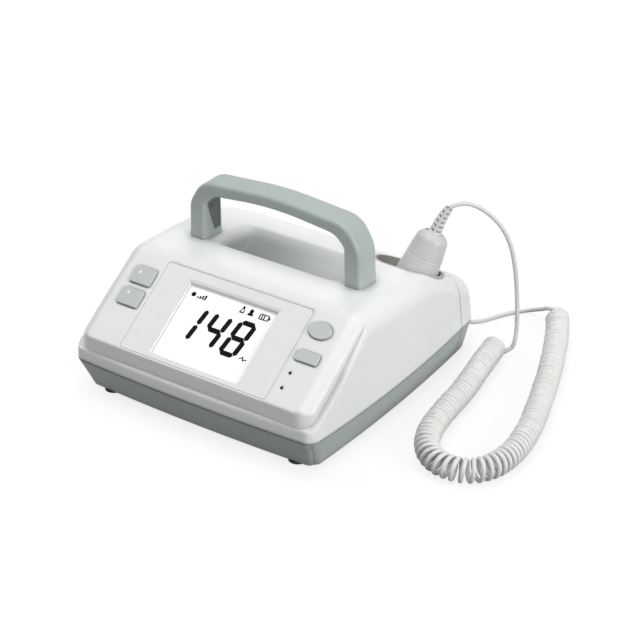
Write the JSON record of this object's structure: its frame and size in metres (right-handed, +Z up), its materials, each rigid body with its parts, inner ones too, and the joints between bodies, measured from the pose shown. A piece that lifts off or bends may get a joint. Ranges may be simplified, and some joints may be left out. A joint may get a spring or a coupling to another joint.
{
  "type": "fetal doppler monitor",
  "caption": "Tabletop fetal doppler monitor: white sloping housing on a grey base, display panel with press keys, carrying handle, and a probe on a curly cord in a rear pocket.",
  "frame": {"origin": "on the floor under the middle of the housing, leaving out the cord", "axes": "X to the right as the user faces the display, Y to the back, Z up"},
  "size_m": [0.3614, 0.3117, 0.1564],
  "materials": {
    "white_plastic": "satin moulded, faintly cool white",
    "base_plastic": "satin grey-green",
    "handle_plastic": "satin darker grey-green",
    "liner_plastic": "fine matte dark grey",
    "key_plastic": "matte light grey",
    "overlay_plastic": "smooth pale grey",
    "window_plastic": "clear",
    "display_glass": "pale reflective display",
    "diffuser_plastic": "milky diffuser",
    "black_plastic": "matte black",
    "board_laminate": "green solder mask",
    "bright_steel": "zinc plated",
    "magnet_steel": "dark phosphated",
    "cone_paper": "black pressed paper",
    "battery_wrap": "blue shrink wrap",
    "foot_rubber": "matte black",
    "jack_plastic": "black",
    "indicator_plastic": "smoked green",
    "probe_plastic": "satin off-white",
    "ring_plastic": "bright white",
    "lens_rubber": "smooth grey-blue",
    "crystal_silver": "silvered ceramic",
    "cord_plastic": "smooth off-white"
  },
  "bodies": {
    "housing": {"top_shell": "white_plastic", "rear_cover": "white_plastic", "tray": "base_plastic", "tray_end": "base_plastic", "probe_pocket": "white_plastic", "display_overlay": "overlay_plastic", "display_window": "window_plastic", "lcd_glass": "display_glass", "backlight": "diffuser_plastic", "lcd_frame": "black_plastic", "key_switches": "black_plastic", "indicator_lenses": "indicator_plastic", "panel_board": "board_laminate", "board_screws": "bright_steel", "main_board": "board_laminate", "board_parts": "black_plastic", "main_board_screws": "bright_steel", "speaker_frame": "bright_steel", "speaker_cone": "cone_paper", "speaker_magnet": "magnet_steel", "battery_pack": "battery_wrap", "battery_cover": "base_plastic", "battery_cover_screw": "bright_steel", "power_board": "board_laminate", "power_board_screws": "bright_steel", "headphone_jack": "jack_plastic", "charging_socket": "bright_steel", "cable_gland": "cord_plastic", "front_left_foot": "foot_rubber", "front_right_foot": "foot_rubber", "rear_left_foot": "foot_rubber", "rear_right_foot": "foot_rubber", "tray_screws": "bright_steel", "rear_cover_screws": "bright_steel", "handle": "handle_plastic", "handle_liner": "liner_plastic", "handle_screws": "bright_steel", "handle_bolts": "bright_steel", "cord_lead": "cord_plastic", "cord_coil": "cord_plastic", "cord_tail": "cord_plastic"},
    "upper_left_key": {"upper_left_key": "key_plastic"},
    "lower_left_key": {"lower_left_key": "key_plastic"},
    "oval_key": {"oval_key": "key_plastic"},
    "bar_key": {"bar_key": "key_plastic"},
    "probe": {"probe_body": "probe_plastic", "probe_lens": "lens_rubber", "probe_crystals": "crystal_silver", "probe_board": "board_laminate", "probe_ring": "ring_plastic", "probe_cap": "probe_plastic", "probe_strain_relief": "cord_plastic"}
  },
  "joints": [
    {"name": "upper_left_key_press", "type": "slide", "parent": "housing", "child": "upper_left_key", "axis": [0, 0.5505, -0.8348], "range_m": [0, 0.001], "stiffness_N_per_m": 800, "springref_m": -0.0005},
    {"name": "lower_left_key_press", "type": "slide", "parent": "housing", "child": "lower_left_key", "axis": [0, 0.5505, -0.8348], "range_m": [0, 0.001], "stiffness_N_per_m": 800, "springref_m": -0.0005},
    {"name": "oval_key_press", "type": "slide", "parent": "housing", "child": "oval_key", "axis": [0, 0.5505, -0.8348], "range_m": [0, 0.001], "stiffness_N_per_m": 800, "springref_m": -0.0005},
    {"name": "bar_key_press", "type": "slide", "parent": "housing", "child": "bar_key", "axis": [0, 0.5505, -0.8348], "range_m": [0, 0.001], "stiffness_N_per_m": 800, "springref_m": -0.0005},
    {"name": "probe_lift", "type": "slide", "parent": "housing", "child": "probe", "axis": [0.2306, 0.3409, 0.9114], "range_m": [0, 0.07], "deforming": ["cord_lead"]}
  ]
}
